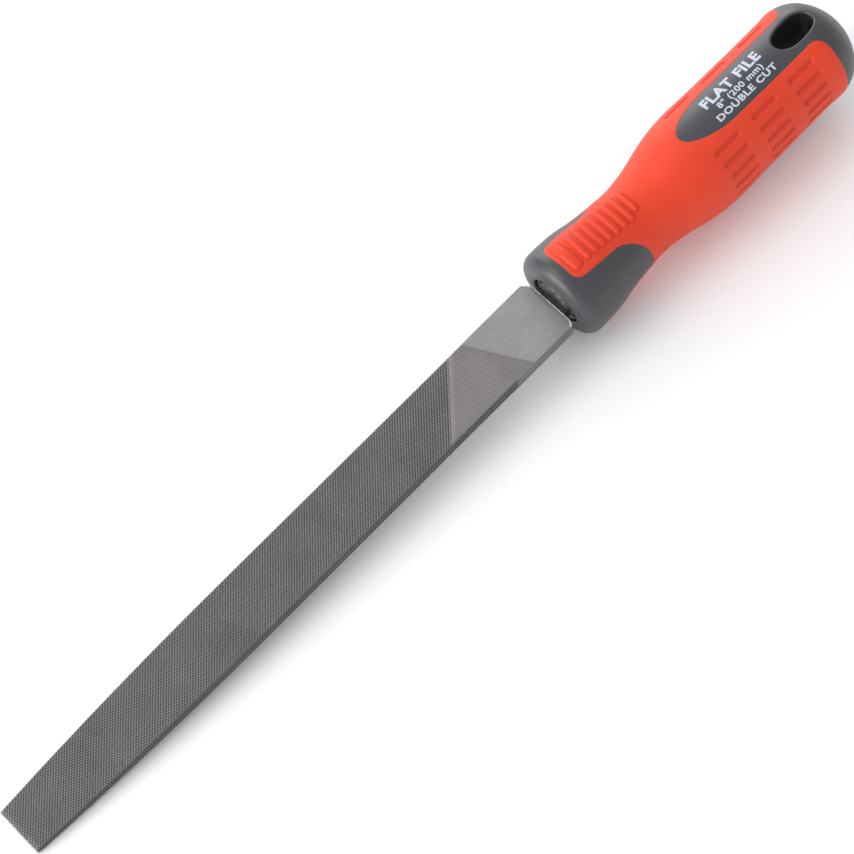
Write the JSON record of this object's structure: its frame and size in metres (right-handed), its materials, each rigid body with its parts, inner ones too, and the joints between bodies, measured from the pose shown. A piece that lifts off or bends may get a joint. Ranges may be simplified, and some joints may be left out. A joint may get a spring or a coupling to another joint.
{
  "type": "flat file",
  "caption": "Flat hand file with a double-cut tapering blade and a two-colour moulded handle with a hang hole.",
  "frame": {"origin": "centre of the bounding box, on the tool's long axis halfway between the point and the butt", "axes": "+X along the tool from the point to the butt of the handle, +Z out of the upper working face, on the side with the printed label"},
  "size_m": [0.3144, 0.031, 0.031],
  "materials": {
    "blade_steel": "ground heel, dull hardened teeth",
    "sleeve_plastic": "dull black, as moulded",
    "core_plastic": "fine satin moulding",
    "grip_rubber": "soft satin moulding"
  },
  "bodies": {
    "root": {"blade": "blade_steel", "tang_sleeve": "sleeve_plastic", "handle_core": "core_plastic", "grip_overmould": "grip_rubber"}
  },
  "joints": []
}
